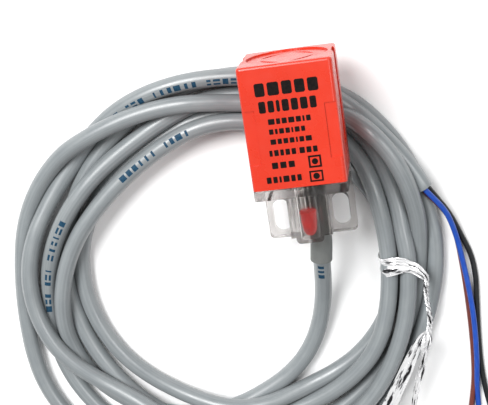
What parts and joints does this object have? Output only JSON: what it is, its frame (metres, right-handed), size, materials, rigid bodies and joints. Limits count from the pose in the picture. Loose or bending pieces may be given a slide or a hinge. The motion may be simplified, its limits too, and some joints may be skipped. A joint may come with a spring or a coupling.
{
  "type": "proximity sensor",
  "caption": "Inductive proximity sensor: square orange-red housing on a clear slotted mounting base with a red indicator, and a coiled grey cable with stripped wires.",
  "frame": {"origin": "centre of the recessed sensing disc, on the sensor's long axis", "axes": "+Y out of the sensing face along the long axis, +Z out of the label face, -Z out of the mounting face, +X to the right seen from the label side"},
  "size_m": [0.1385, 0.1285, 0.036],
  "materials": {
    "orange_housing": "glossy moulded plastic, orange red",
    "clear_base": "clear moulded polycarbonate, slightly grey",
    "red_lens": "tinted red lens",
    "tinned_metal": "bright tinned copper",
    "ferrite": "matt dark ceramic",
    "bobbin_plastic": "natural plastic",
    "copper_wire": "enamelled copper",
    "board": "green solder mask",
    "black_epoxy": "moulded black epoxy",
    "ceramic": "fired ceramic",
    "potting": "cast black resin",
    "grey_rubber": "matt grey",
    "grey_jacket": "satin grey PVC with blue marks",
    "brown_jacket": "satin",
    "blue_jacket": "satin",
    "black_jacket": "satin",
    "silver_foil": "crinkled metallised film"
  },
  "bodies": {
    "root": {"housing": "orange_housing", "mounting_base": "clear_base", "indicator_led": "red_lens", "led_lead_anode": "tinned_metal", "led_lead_cathode": "tinned_metal", "ferrite_core": "ferrite", "coil_bobbin": "bobbin_plastic", "coil_winding": "copper_wire", "circuit_board": "board", "oscillator_ic": "black_epoxy", "output_transistor": "black_epoxy", "surge_diode": "black_epoxy", "reverse_diode": "black_epoxy", "sensitivity_resistor": "black_epoxy", "led_resistor": "black_epoxy", "tuning_capacitor": "ceramic", "supply_capacitor": "ceramic", "potting_resin": "potting", "strain_relief": "grey_rubber", "inner_wire_brown": "brown_jacket", "inner_wire_blue": "blue_jacket", "inner_wire_black": "black_jacket", "cable_lead": "grey_jacket", "cable_coil": "grey_jacket", "cable_tail": "grey_jacket", "wire_brown": "brown_jacket", "wire_blue": "blue_jacket", "wire_black": "black_jacket", "wire_tip_brown": "tinned_metal", "wire_tip_blue": "tinned_metal", "wire_tip_black": "tinned_metal", "twist_tie": "silver_foil"}
  },
  "joints": []
}
